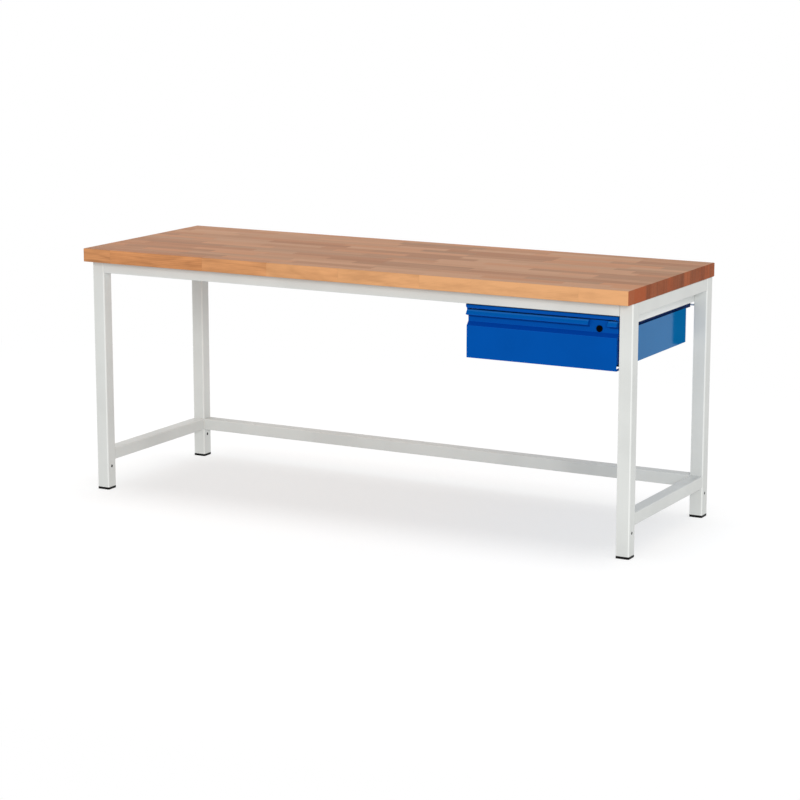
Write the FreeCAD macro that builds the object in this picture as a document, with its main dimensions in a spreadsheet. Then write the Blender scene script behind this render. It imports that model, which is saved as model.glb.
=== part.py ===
import FreeCAD, Part
import math
import os
import Sketcher

# Steel-frame workbench with a beech top and one lockable drawer.
# Origin on the floor under the middle of the worktop, +X along the bench to the drawer's end,
# +Y to the back, +Z up.  Millimetres.

Vector = FreeCAD.Vector
X_AXIS = Vector(1, 0, 0)
Y_AXIS = Vector(0, 1, 0)
Z_AXIS = Vector(0, 0, 1)
TOLERANCE = 0.01

doc = FreeCAD.newDocument("Workbench")
sheet = doc.addObject("Spreadsheet::Sheet", "dims")
nodes = []


# ---------------------------------------------------------------- sizes

class Size:
    """A length that is both a number and a formula on the spreadsheet's aliases."""

    def __init__(self, value, formula):
        self.value = float(value)
        self.formula = formula

    @staticmethod
    def of(other):
        return other if isinstance(other, Size) else Size(other, str(float(other)))

    def joined(self, other, value, sign):
        return Size(value, f"({self.formula} {sign} {other.formula})")

    def __add__(self, other):
        other = Size.of(other)
        return self.joined(other, self.value + other.value, "+")

    def __sub__(self, other):
        other = Size.of(other)
        return self.joined(other, self.value - other.value, "-")

    def __mul__(self, other):
        other = Size.of(other)
        return self.joined(other, self.value * other.value, "*")

    def __truediv__(self, other):
        other = Size.of(other)
        return self.joined(other, self.value / other.value, "/")

    def __neg__(self):
        return Size.of(0) - self

    def __radd__(self, other):
        return Size.of(other) + self

    def __rmul__(self, other):
        return Size.of(other) * self


row = 0


def size(name, value, note):
    """One driving dimension: a row of the sheet, with its alias."""
    global row
    row += 1
    sheet.set(f"A{row}", note)
    sheet.set(f"B{row}", str(value))
    sheet.setAlias(f"B{row}", name)
    return Size(value, f"dims.{name}")


# worktop
top_length = size("top_length", 2000, "worktop, along X")
top_depth = size("top_depth", 700, "worktop, along Y")
top_thickness = size("top_thickness", 45, "worktop, along Z")
top_edge = size("top_edge", 1.5, "bevel round the worktop's edges")
bench_height = size("bench_height", 840, "floor to worktop surface")

# frame
left_overhang = size("left_overhang", 10, "worktop beyond the left legs")
right_overhang = size("right_overhang", 0, "worktop beyond the right legs")
front_overhang = size("front_overhang", 37, "worktop beyond the front legs")
back_overhang = size("back_overhang", 15, "worktop beyond the back legs")
leg_width = size("leg_width", 45, "square leg tube, and the rails' width")
rail_height = size("rail_height", 40, "rail tube, along Z")
tube_wall = size("tube_wall", 2, "wall of legs and rails")
tube_corner = size("tube_corner", 4, "outer corner radius of legs and rails")
lower_rail_bottom = size("lower_rail_bottom", 100, "floor to the lower rails")
leg_hole_diameter = size("leg_hole_diameter", 10.5, "cross hole in each leg")
leg_hole_height = size("leg_hole_height", 80, "floor to the cross hole")

# feet
foot_height = size("foot_height", 8, "visible part of the plastic foot")
plug_length = size("plug_length", 22, "part of the foot inside the leg")
plug_wall = size("plug_wall", 2.5, "wall of that plug")
plug_fit = size("plug_fit", 0.1, "gap between plug and leg")

# worktop fixings
lug_length = size("lug_length", 44, "welded lug, along X")
lug_reach = size("lug_reach", 32, "welded lug, out of the rail")
lug_thickness = size("lug_thickness", 4, "welded lug")
lug_inset = size("lug_inset", 130, "left lugs' middle from the legs")
lug_spacing = size("lug_spacing", 825, "left lugs to middle lugs")
screw_diameter = size("screw_diameter", 6, "worktop screw's shank")
screw_fit = size("screw_fit", 0.1, "gap round the shank")
screw_depth = size("screw_depth", 26, "shank inside the worktop")
screw_head = size("screw_head", 10, "hexagon head across its corners")
screw_head_height = size("screw_head_height", 4, "hexagon head")

# drawer carriers and housing
carrier_sheet = size("carrier_sheet", 5, "steel of the carriers")
carrier_drop = size("carrier_drop", 78, "carrier web, below the worktop")
carrier_flange = size("carrier_flange", 30, "carrier flange under the worktop")
carrier_screw_inset = size("carrier_screw_inset", 60, "carrier screws from the rails")
housing_width = size("housing_width", 516, "drawer housing, along X")
housing_sheet = size("housing_sheet", 1.5, "sheet of the housing")
runner_inset = size("runner_inset", 12, "side plate's web, inside the carrier")
runner_height = size("runner_height", 57.5, "side plate's web, along Z")
hanger_drop = size("hanger_drop", 20, "side plate's flange on the carrier")
housing_gap = size("housing_gap", 0.5, "front rail to housing")
strip_depth = size("strip_depth", 27, "front strip, along Y")
strip_height = size("strip_height", 13.5, "front strip, along Z")
strip_bend = size("strip_bend", 6, "slanted lower edge of the front strip")
strip_bottom_depth = size("strip_bottom_depth", 26, "front strip's bottom flange, from its face")
housing_bend = size("housing_bend", 0.9, "outer radius of the housing's folds")
housing_lap = size("housing_lap", 12, "carriers' and side plates' reach under the back rail")
tie_depth = size("tie_depth", 20, "rear tie bar, along Y")
tie_sheet = size("tie_sheet", 2, "rear tie bar, along Z")
tie_height = size("tie_height", 5, "rear tie bar above the side plates' lower edge")

# drawer front
front_side_gap = size("front_side_gap", 2.5, "drawer front's end to the housing's outside")
front_sheet = size("front_sheet", 1.5, "sheet of the drawer front")
front_bend = size("front_bend", 1.8, "outer radius of the drawer front's folds")
front_gap = size("front_gap", 4, "housing strip to drawer front")
front_height = size("front_height", 152.5, "drawer front, along Z")
recess_drop = size("recess_drop", 37, "recess floor below the drawer front's upper edge")
recess_height = size("recess_height", 17, "flat back of the recess")
recess_depth = size("recess_depth", 12, "recess behind the drawer front's face")
slope_height = size("slope_height", 13.5, "slope from the face up to the recess")
lip_reach = size("lip_reach", 8, "lip in front of the face")
lip_rise = size("lip_rise", 5.5, "lip's edge above the recess back's upper end")
lip_top_setback = size("lip_top_setback", 3, "lip's upper bend behind the face")
return_depth = size("return_depth", 23, "side returns, along Y")
notch_bottom = size("notch_bottom", 7, "corner notch above the lower edge")
notch_height = size("notch_height", 13, "corner notch")

# drawer body
tub_sheet = size("tub_sheet", 1.2, "sheet of the drawer body")
tub_bend = size("tub_bend", 1.8, "outer radius of the tub's folds")
tub_bottom = size("tub_bottom", 5, "tub above the drawer front's lower edge")
back_room = size("back_room", 55.5, "tub's back to the side plates' back end")
relief_length = size("relief_length", 40, "cut in the tub's front corners, along Y")
relief_height = size("relief_height", 15, "the same cut, along Z")
back_drop = size("back_drop", 12, "wide part of the back wall below the tub's rim")
side_foot = size("side_foot", 8, "flange of the inner side wall")
lock_window = size("lock_window", 34, "cut-out of the inner front round the lock")
lock_window_drop = size("lock_window_drop", 46, "the same cut-out, from the top")

# slides
slide_sheet = size("slide_sheet", 1.2, "sheet of the slide members")
slide_tail = size("slide_tail", 26, "fixed and middle members behind the tub")
slide_thickness = size("slide_thickness", 12.7, "slide, along X")
slide_height = size("slide_height", 42, "fixed member, along Z")
slide_bottom = size("slide_bottom", 2, "fixed member above the side plate's lower edge")
slide_play = size("slide_play", 0.3, "running gap between members")
slide_back_gap = size("slide_back_gap", 1.2, "gap between the members' backs")

# lock
lock_inset = size("lock_inset", 62.5, "lock axis from the drawer front's right end")
lock_drop = size("lock_drop", 26.2, "lock axis below the drawer front's upper edge")
lip_gap = size("lip_gap", 66, "gap in the lip round the lock")
barrel_face = size("barrel_face", 21, "lock's round face")
barrel_face_depth = size("barrel_face_depth", 3, "lock's round face, along Y")
barrel_diameter = size("barrel_diameter", 18, "lock barrel")
barrel_length = size("barrel_length", 15, "lock barrel behind its face")
barrel_bevel = size("barrel_bevel", 0.8, "bevel of the round face")
plug_diameter = size("plug_diameter", 12, "bore of the lock barrel")
plug_play = size("plug_play", 0.05, "gap round the turning plug")
plug_proud = size("plug_proud", 0.6, "plug in front of the barrel's face")
plug_back = size("plug_back", 0.5, "plug's shoulder behind the barrel")
key_slot_width = size("key_slot_width", 1.6, "key slot")
key_slot_height = size("key_slot_height", 7, "key slot")
key_slot_depth = size("key_slot_depth", 9, "key slot")
tenon = size("tenon", 6, "square end of the plug")
cam_fit = size("cam_fit", 0.1, "gap round the tenon")
cam_sheet = size("cam_sheet", 2.5, "cam")
cam_width = size("cam_width", 14, "cam")
cam_corner = size("cam_corner", 3.5, "cam's corner radius")
cam_reach = size("cam_reach", 38, "cam, from the lock axis to its tip")
nut_width = size("nut_width", 24, "lock nut across its corners")
nut_thickness = size("nut_thickness", 4, "lock nut")
nut_fit = size("nut_fit", 0.1, "gap round the barrel in the plate and the nut")
cam_screw_head = size("cam_screw_head", 9, "cam screw's head")
cam_screw_head_depth = size("cam_screw_head_depth", 2.5, "cam screw's head")
cam_screw_diameter = size("cam_screw_diameter", 3, "cam screw's shank")
cam_screw_length = size("cam_screw_length", 7, "cam screw's shank")

# cutting outlines
overcut = size("overcut", 5, "how far a cutting outline runs past the sheet it cuts")

doc.recompute()

# ---------------------------------------------------------------- places worked out from the sizes

top_underside = bench_height - top_thickness
legs_right = top_length / 2 - right_overhang
legs_left = left_overhang - top_length / 2
legs_front = -(top_depth / 2) + front_overhang
legs_back = top_depth / 2 - back_overhang
top_rail_bottom = top_underside - rail_height
inside_length = legs_right - legs_left - leg_width * 2
inside_depth = legs_back - legs_front - leg_width * 2
screw_bore = screw_diameter + screw_fit * 2

housing_depth = legs_back - leg_width + housing_lap - legs_front
drawer_middle = legs_right - leg_width - carrier_sheet - housing_width / 2
housing_top = top_rail_bottom - housing_gap
plate_bottom = housing_top - runner_height
strip_back = legs_front + strip_depth

front_width = housing_width - front_side_gap * 2
recess_bottom = front_height - recess_drop
front_top = housing_top - strip_height - front_gap
front_bottom = front_top - front_height
recess_back = legs_front + recess_depth
inner_front_face = recess_back + front_sheet
tub_floor = front_bottom + tub_bottom
tub_back = legs_front + housing_depth - back_room
tub_length = tub_back - inner_front_face
tub_outer = front_width / 2 - front_sheet
tub_inner = tub_outer - tub_sheet
wall_top = front_height - front_sheet - tub_bottom - tub_sheet

slide_step = slide_sheet + slide_play
slide_front = strip_back
slide_outer = housing_width / 2 - runner_inset - housing_sheet
slide_inner = slide_outer - slide_thickness
slide_low = plate_bottom + slide_bottom
slide_high = slide_low + slide_height
slide_length = tub_back - slide_front + slide_tail
tub_wall = slide_low + slide_step * 2 - tub_floor
back_step = tub_wall - back_drop

lock_offset = front_width / 2 - lock_inset
lock_height = front_height - lock_drop
lock_x = drawer_middle + lock_offset
lock_z = front_bottom + lock_height
barrel_bore = barrel_diameter + nut_fit * 2
barrel_back = recess_back + barrel_length
cam_front = barrel_back + plug_back
cam_back = cam_front + cam_sheet


# ---------------------------------------------------------------- modelling helpers

def node(item):
    """Name a finished sub-part as one of the bench's pieces."""
    nodes.append(item)
    return item


def bind(item, prop, value):
    """Drive a property from the sheet."""
    item.setExpression(prop, Size.of(value).formula)


def new_body(label):
    body = doc.addObject("PartDesign::Body", label)
    body.Label = label
    return node(body)


def place(item, x, y, z):
    """Bind the position of a sub-part."""
    for axis, value in zip("xyz", (x, y, z)):
        bind(item, f"Placement.Base.{axis}", value)


def sketch_on(body, plane, offset=None):
    """A sketch on one of the body's own origin planes, moved along its normal by offset."""
    sketch = body.newObject("Sketcher::SketchObject", f"{body.Label}_{plane.lower()}_sketch")
    role = f"{plane}_Plane"
    support = [item for item in body.Origin.OriginFeatures if item.Role == role][0]
    sketch.AttachmentSupport = [(support, "")]
    sketch.MapMode = "FlatFace"
    if offset is not None:
        bind(sketch, "AttachmentOffset.Base.z", offset)
    return sketch


def pin_point(sketch, geometry, point, x, y):
    """Fix a sketch point at (x, y) with two driven distances from the sketch's origin."""
    for kind, value in (("DistanceX", x), ("DistanceY", y)):
        value = Size.of(value)
        rule = sketch.addConstraint(Sketcher.Constraint(kind, -1, 1, geometry, point, value.value))
        sketch.setExpression(f"Constraints[{rule}]", value.formula)


def polygon(sketch, points):
    """A closed outline through points, each a pair of sizes."""
    points = [(Size.of(x), Size.of(y)) for x, y in points]
    first = sketch.GeometryCount
    count = len(points)
    for index, (x, y) in enumerate(points):
        to_x, to_y = points[(index + 1) % count]
        sketch.addGeometry(Part.LineSegment(Vector(x.value, y.value, 0), Vector(to_x.value, to_y.value, 0)))
    for index in range(count):
        following = first + (index + 1) % count
        sketch.addConstraint(Sketcher.Constraint("Coincident", first + index, 2, following, 1))
    for index, (x, y) in enumerate(points):
        pin_point(sketch, first + index, 1, x, y)


def rectangle(sketch, left, low, right, high):
    polygon(sketch, [(left, low), (right, low), (right, high), (left, high)])


def circle(sketch, x, y, diameter):
    x, y, radius = Size.of(x), Size.of(y), Size.of(diameter) / 2
    centre = Vector(x.value, y.value, 0)
    ring = sketch.addGeometry(Part.Circle(centre, Vector(0, 0, 1), radius.value))
    pin_point(sketch, ring, 3, x, y)
    rule = sketch.addConstraint(Sketcher.Constraint("Radius", ring, radius.value))
    sketch.setExpression(f"Constraints[{rule}]", radius.formula)


def pad(body, sketch, length, backwards=False):
    """Pull a sketch into a solid; on the XZ plane backwards means towards +Y."""
    feature = body.newObject("PartDesign::Pad", f"{body.Label}_pad")
    feature.Profile = sketch
    feature.Reversed = backwards
    bind(feature, "Length", length)
    doc.recompute()
    return feature


def pocket(body, sketch, length=None, backwards=False):
    """Cut a sketch out of the body, through all of it where no length is given."""
    before = body.Shape.Volume
    feature = body.newObject("PartDesign::Pocket", f"{body.Label}_pocket")
    feature.Profile = sketch
    feature.Reversed = backwards
    if length is None:
        feature.Type = "ThroughAll"
    else:
        bind(feature, "Length", length)
    doc.recompute()
    if not body.Shape.Volume < before:
        raise RuntimeError(f"{body.Label}: a pocket cuts nothing")
    return feature


def near(a, b):
    return math.isclose(a, Size.of(b).value, abs_tol=TOLERANCE)


def edges_along(shape, axis, keep=None):
    """Names of the straight edges that run along an axis, filtered by keep(middle)."""
    names = []
    for index, edge in enumerate(shape.Edges):
        if edge.Curve.TypeId != "Part::GeomLine":
            continue
        start, end = edge.Vertexes[0].Point, edge.Vertexes[-1].Point
        direction = (end - start).normalize()
        if not near(abs(direction.dot(axis)), 1):
            continue
        if keep is None or keep((start + end) / 2):
            names.append(f"Edge{index + 1}")
    return names


def dress(body, kind, prop, amount, names):
    """Fillet or chamfer the named edges of the body's last feature."""
    base = body.Tip
    feature = body.newObject(f"PartDesign::{kind}", f"{body.Label}_{kind.lower()}")
    feature.Base = (base, names)
    bind(feature, prop, amount)
    doc.recompute()
    return feature


def fillet(body, radius, names):
    return dress(body, "Fillet", "Radius", radius, names)


def chamfer(body, amount, names):
    return dress(body, "Chamfer", "Size", amount, names)


# ---------------------------------------------------------------- worktop

def lug_places():
    """Middles of the lugs under the worktop's open part: two on the front rail, two on the back."""
    left = legs_left + leg_width + lug_inset
    front = legs_front + leg_width
    back = legs_back - leg_width
    for x in (left, left + lug_spacing):
        yield x, front, 1
        yield x, back, -1


def lug_screw_places():
    return [(x, y + lug_reach / 2 * way) for x, y, way in lug_places()]


def carrier_screw_places():
    """Screws through both carriers' flanges, near the front and the back rail."""
    reach = housing_width / 2 + carrier_sheet - carrier_flange / 2
    front = legs_front + leg_width + carrier_screw_inset
    back = legs_back - leg_width - carrier_screw_inset
    return [(drawer_middle + reach * side, y) for side in (-1, 1) for y in (front, back)]


def make_worktop():
    body = new_body("worktop")
    slab = sketch_on(body, "XY")
    rectangle(slab, -(top_length / 2), -(top_depth / 2), top_length / 2, top_depth / 2)
    pad(body, slab, top_thickness)
    outline = [f"Edge{index + 1}" for index in range(len(body.Shape.Edges))]
    chamfer(body, top_edge, outline)
    holes = sketch_on(body, "XY")
    for x, y in lug_screw_places() + carrier_screw_places():
        circle(holes, x, y, screw_bore)
    pocket(body, holes, screw_depth, backwards=True)
    place(body, 0, 0, top_underside)


# ---------------------------------------------------------------- frame

def square_tube(label, plane, width, height, length, hole=None):
    """Rounded tube along the plane's normal, with an optional cross hole at (side, along)."""
    body = new_body(label)
    backwards = plane == "XZ"
    axis = {"XY": Z_AXIS, "XZ": Y_AXIS, "YZ": X_AXIS}[plane]
    outside = sketch_on(body, plane)
    rectangle(outside, 0, 0, width, height)
    pad(body, outside, length, backwards)
    fillet(body, tube_corner, edges_along(body.Shape, axis))
    inside = sketch_on(body, plane)
    rectangle(inside, tube_wall, tube_wall, width - tube_wall, height - tube_wall)
    pocket(body, inside, backwards=not backwards)
    if hole is not None:
        cross = sketch_on(body, "YZ")
        circle(cross, hole[0], hole[1], leg_hole_diameter)
        pocket(body, cross, backwards=True)
    return body


def make_legs_and_feet():
    for side, x in (("left", legs_left), ("right", legs_right - leg_width)):
        for end, y in (("front", legs_front), ("back", legs_back - leg_width)):
            leg = square_tube(f"leg_{end}_{side}", "XY", leg_width, leg_width, top_underside - foot_height,
                              hole=(leg_width / 2, leg_hole_height - foot_height))
            place(leg, x, y, foot_height)
            make_foot(f"foot_{end}_{side}", x, y)


def make_foot(label, x, y):
    """Plastic glide: a sole as wide as the leg, with a hollow plug up the tube."""
    body = new_body(label)
    sole = sketch_on(body, "XY")
    rectangle(sole, 0, 0, leg_width, leg_width)
    pad(body, sole, foot_height)
    fillet(body, tube_corner, edges_along(body.Shape, Z_AXIS))
    outer = tube_wall + plug_fit
    inner = outer + plug_wall
    plug = sketch_on(body, "XY", foot_height)
    rectangle(plug, outer, outer, leg_width - outer, leg_width - outer)
    rectangle(plug, inner, inner, leg_width - inner, leg_width - inner)
    pad(body, plug, plug_length)
    place(body, x, y, 0)


def make_rails():
    inner_left = legs_left + leg_width
    inner_front = legs_front + leg_width
    back_rails = legs_back - leg_width
    right_rails = legs_right - leg_width
    for label, y, z in (("top_rail_front", legs_front, top_rail_bottom),
                        ("top_rail_back", back_rails, top_rail_bottom),
                        ("lower_rail_back", back_rails, lower_rail_bottom)):
        rail = square_tube(label, "YZ", leg_width, rail_height, inside_length)
        place(rail, inner_left, y, z)
    for label, x, z in (("top_rail_left", legs_left, top_rail_bottom),
                        ("top_rail_right", right_rails, top_rail_bottom),
                        ("lower_rail_left", legs_left, lower_rail_bottom),
                        ("lower_rail_right", right_rails, lower_rail_bottom)):
        rail = square_tube(label, "XZ", leg_width, rail_height, inside_depth)
        place(rail, x, inner_front, z)


# ---------------------------------------------------------------- worktop fixings

def group(label, items):
    """Several separate solids that share one node."""
    compound = doc.addObject("Part::Compound", label)
    compound.Label = label
    compound.Links = items
    return node(compound)


def cylinder(name, diameter, height, x, y, z):
    item = doc.addObject("Part::Cylinder", name)
    bind(item, "Radius", diameter / 2)
    bind(item, "Height", height)
    place(item, x, y, z)
    return item


def box(name, length, width, height, x, y, z):
    item = doc.addObject("Part::Box", name)
    bind(item, "Length", length)
    bind(item, "Width", width)
    bind(item, "Height", height)
    place(item, x, y, z)
    return item


def cut(name, base, tool):
    item = doc.addObject("Part::Cut", name)
    item.Base = base
    item.Tool = tool
    return item


def fuse(name, base, tool):
    item = doc.addObject("Part::Fuse", name)
    item.Base = base
    item.Tool = tool
    return item


def make_lugs():
    lugs = []
    for number, (x, y, way) in enumerate(lug_places(), 1):
        low_y = y if way > 0 else y - lug_reach
        z = top_underside - lug_thickness
        plate = box(f"lug_plate_{number}", lug_length, lug_reach, lug_thickness, x - lug_length / 2, low_y, z)
        hole = cylinder(f"lug_hole_{number}", screw_bore, lug_thickness, x, y + lug_reach / 2 * way, z)
        lugs.append(cut(f"lug_{number}", plate, hole))
    group("worktop_lugs", lugs)


def hex_screws(label, places, underside):
    """Hexagon-head screws, heads against underside, shanks up into the worktop."""
    screws = []
    for number, (x, y) in enumerate(places, 1):
        head = doc.addObject("Part::Prism", f"{label}_head_{number}")
        head.Polygon = 6
        bind(head, "Circumradius", screw_head / 2)
        bind(head, "Height", screw_head_height)
        place(head, x, y, underside - screw_head_height)
        reach = top_underside - underside + screw_depth
        shank = cylinder(f"{label}_shank_{number}", screw_diameter, reach, x, y, underside)
        screws.append(fuse(f"{label}_{number}", head, shank))
    group(label, screws)


# ---------------------------------------------------------------- drawer carriers and housing

def make_carrier(label, side):
    """Hanging angle from the front rail to the back rail and on below it; side is 1 right, -1 left."""
    body = new_body(label)
    section = sketch_on(body, "XZ")
    outer = housing_width / 2 + carrier_sheet
    inner = housing_width / 2
    tip = outer - carrier_flange
    points = [(outer, -carrier_drop), (outer, 0), (tip, 0), (tip, -carrier_sheet),
              (inner, -carrier_sheet), (inner, -carrier_drop)]
    polygon(section, [(x * side, z) for x, z in points])
    pad(body, section, inside_depth, backwards=True)
    below_rail = -rail_height - housing_gap
    points = [(outer, -carrier_drop), (outer, below_rail), (inner, below_rail), (inner, -carrier_drop)]
    lap = sketch_on(body, "XZ")
    polygon(lap, [(x * side, z) for x, z in points])
    pad(body, lap, inside_depth + housing_lap, backwards=True)
    holes = sketch_on(body, "XY")
    for y in (carrier_screw_inset, inside_depth - carrier_screw_inset):
        circle(holes, (outer - carrier_flange / 2) * side, y, screw_bore)
    pocket(body, holes)
    place(body, drawer_middle, legs_front + leg_width, top_underside)


def make_side_plate(label, side):
    """Runner plate: a long web for the slide, bent over the top and down the carrier."""
    body = new_body(label)
    section = sketch_on(body, "XZ")
    web_in = slide_outer
    web_out = slide_outer + housing_sheet
    skin = housing_width / 2
    points = [(web_in, -runner_height), (web_out, -runner_height), (web_out, -housing_sheet),
              (skin - housing_sheet, -housing_sheet), (skin - housing_sheet, -hanger_drop),
              (skin, -hanger_drop), (skin, 0), (web_in, 0)]
    polygon(section, [(x * side, z) for x, z in points])
    pad(body, section, housing_depth - strip_depth, backwards=True)
    top_corners = edges_along(body.Shape, Y_AXIS, lambda at: near(at.z, 0))
    fillet(body, housing_bend, top_corners)
    place(body, drawer_middle, strip_back, housing_top)


def make_front_strip():
    """Channel under the front rail: slanted lower edge, closed ends, open at the back."""
    body = new_body("housing_front_strip")
    section = sketch_on(body, "YZ")
    polygon(section, [(0, 0), (strip_depth, 0), (strip_depth, -housing_sheet), (strip_bottom_depth, -strip_height),
                      (strip_bend, -strip_height), (0, strip_bend - strip_height)])
    pad(body, section, housing_width)
    skin = housing_sheet
    mitre = skin * math.tan(math.radians(45 / 2))
    open_end = strip_depth + overcut
    hollow = sketch_on(body, "YZ", skin)
    polygon(hollow, [(skin, -skin), (open_end, -skin), (open_end, skin - strip_height),
                     (strip_bend + mitre, skin - strip_height), (skin, strip_bend - strip_height + mitre)])
    pocket(body, hollow, housing_width - skin * 2, backwards=True)
    bends = edges_along(body.Shape, X_AXIS, lambda at: near(at.y, 0) or
                        (near(at.z, -strip_height) and near(at.y, strip_bend)))
    fillet(body, housing_bend, bends)
    place(body, drawer_middle - housing_width / 2, legs_front, housing_top)


def make_rear_tie():
    """Flat bar that joins the back ends of both side plates."""
    body = new_body("housing_rear_tie")
    section = sketch_on(body, "XY")
    rectangle(section, 0, 0, housing_width, tie_depth)
    pad(body, section, tie_sheet)
    place(body, drawer_middle - housing_width / 2, legs_front + housing_depth, plate_bottom + tie_height)


# ---------------------------------------------------------------- drawer slides

def make_slide(name, side):
    """Three nested channels: fixed on the side plate, middle, and one on the drawer."""
    back = slide_outer
    mouth = slide_inner + slide_sheet + slide_play * 2
    step = slide_step
    low, high = slide_low - housing_top, slide_high - housing_top
    channel(f"slide_{name}_fixed", side, back, back - slide_sheet, mouth + slide_sheet, low, high, slide_length)
    low, high = low + step, high - step
    back = back - slide_sheet - slide_back_gap
    channel(f"slide_{name}_middle", side, back, back - slide_sheet, mouth, low, high, slide_length)
    low, high = low + step, high - step
    mouth = back - slide_sheet - slide_back_gap
    drawer_member = tub_back - slide_front - tub_sheet
    channel(f"slide_{name}_drawer", side, slide_inner, slide_inner + slide_sheet, mouth, low, high, drawer_member)


def channel(label, side, back, inside, mouth, low, high, length):
    """Sheet channel with its back at one x and its mouth at another, open sideways."""
    body = new_body(label)
    section = sketch_on(body, "XZ")
    points = [(back, low), (back, high), (mouth, high), (mouth, high - slide_sheet),
              (inside, high - slide_sheet), (inside, low + slide_sheet), (mouth, low + slide_sheet), (mouth, low)]
    polygon(section, [(x * side, z) for x, z in points])
    pad(body, section, length, backwards=True)
    place(body, drawer_middle, slide_front, housing_top)


# ---------------------------------------------------------------- drawer front

def front_outline():
    """The drawer front's outer line, lower front corner first: (y from the face, z from its lower edge)."""
    slope_foot = recess_bottom - slope_height
    recess_top = recess_bottom + recess_height
    return [(0, 0), (0, slope_foot), (recess_depth, recess_bottom), (recess_depth, recess_top),
            (-lip_reach, recess_top + lip_rise), (lip_top_setback, front_height)]


def make_drawer_front():
    """One folded sheet: hem, face, slope, recess, pulling lip and top flange, with side returns."""
    body = new_body("drawer_front")
    section = sketch_on(body, "YZ")
    polygon(section, [(return_depth, 0)] + front_outline() + [(return_depth, front_height)])
    pad(body, section, front_width)
    bends = edges_along(body.Shape, X_AXIS, lambda at: at.y < recess_depth.value + front_sheet.value)
    fillet(body, front_bend, bends)
    open_back = [f"Face{i + 1}" for i, face in enumerate(body.Shape.Faces)
                 if near(face.BoundBox.YMin, return_depth)]
    solid = body.Tip
    shell = body.newObject("PartDesign::Thickness", "drawer_front_shell")
    shell.Base = (solid, open_back)
    shell.Reversed = True
    shell.Join = "Intersection"
    bind(shell, "Value", front_sheet)
    doc.recompute()
    gap = sketch_on(body, "XZ", -(return_depth + overcut))
    middle = front_width / 2 + lock_offset
    rectangle(gap, middle - lip_gap / 2, recess_bottom, middle + lip_gap / 2, front_height + overcut)
    pocket(body, gap, backwards=True)
    for name, x in (("left", 0), ("right", front_width - front_sheet)):
        notch = sketch_on(body, "YZ", x)
        rectangle(notch, front_sheet, notch_bottom, return_depth + overcut, notch_bottom + notch_height)
        pocket(body, notch, front_sheet, backwards=True)
    place(body, drawer_middle - front_width / 2, legs_front, front_bottom)


# ---------------------------------------------------------------- drawer body

def make_tub():
    """Bottom and outer side walls from one sheet, cut away at the front corners."""
    body = new_body("drawer_tub")
    section = sketch_on(body, "XZ")
    polygon(section, [(-tub_outer, 0), (tub_outer, 0), (tub_outer, tub_wall), (tub_inner, tub_wall),
                      (tub_inner, tub_sheet), (-tub_inner, tub_sheet), (-tub_inner, tub_wall),
                      (-tub_outer, tub_wall)])
    pad(body, section, tub_length, backwards=True)
    folds = edges_along(body.Shape, Y_AXIS, lambda at: near(at.z, 0))
    fillet(body, tub_bend, folds)
    past = tub_outer + overcut
    relief = sketch_on(body, "XY")
    rectangle(relief, -past, -overcut, -slide_inner, relief_length)
    rectangle(relief, slide_inner, -overcut, past, relief_length)
    pocket(body, relief, relief_height, backwards=True)
    place(body, drawer_middle, inner_front_face, tub_floor)


def make_inner_side(label, side):
    """Inner side wall that carries the slide, with a flange on the tub's bottom."""
    body = new_body(label)
    section = sketch_on(body, "XZ")
    skin = slide_inner - tub_sheet
    toe = slide_inner + side_foot
    points = [(skin, 0), (toe, 0), (toe, tub_sheet), (slide_inner, tub_sheet), (slide_inner, wall_top),
              (skin, wall_top)]
    polygon(section, [(x * side, z) for x, z in points])
    pad(body, section, tub_length - tub_sheet * 2, backwards=True)
    relief = sketch_on(body, "XY")
    rectangle(relief, slide_inner * side, -overcut, (toe + overcut) * side, relief_length - tub_sheet)
    pocket(body, relief, tub_sheet, backwards=True)
    place(body, drawer_middle, inner_front_face + tub_sheet, tub_floor + tub_sheet)


def make_inner_front():
    """Inner skin of the drawer front, with a window for the lock."""
    body = new_body("drawer_inner_front")
    wide = tub_inner
    narrow = slide_inner
    step = tub_wall - tub_sheet
    foot = relief_height - tub_sheet
    sill = wall_top - lock_window_drop
    left = lock_offset - lock_window / 2
    right = lock_offset + lock_window / 2
    skin = sketch_on(body, "XZ")
    polygon(skin, [(-narrow, 0), (narrow, 0), (narrow, foot), (wide, foot), (wide, step), (narrow, step),
                   (narrow, wall_top), (right, wall_top), (right, sill), (left, sill), (left, wall_top),
                   (-narrow, wall_top), (-narrow, step), (-wide, step), (-wide, foot), (-narrow, foot)])
    pad(body, skin, tub_sheet, backwards=True)
    place(body, drawer_middle, inner_front_face, tub_floor + tub_sheet)


def make_drawer_back():
    """Back wall: wide below the slides, narrow between the inner sides above them."""
    body = new_body("drawer_back")
    wide = tub_inner
    narrow = slide_inner
    skin = sketch_on(body, "XZ")
    polygon(skin, [(-wide, 0), (wide, 0), (wide, back_step), (narrow, back_step), (narrow, wall_top),
                   (-narrow, wall_top), (-narrow, back_step), (-wide, back_step)])
    pad(body, skin, tub_sheet, backwards=True)
    place(body, drawer_middle, tub_back - tub_sheet, tub_floor + tub_sheet)


# ---------------------------------------------------------------- lock

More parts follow.
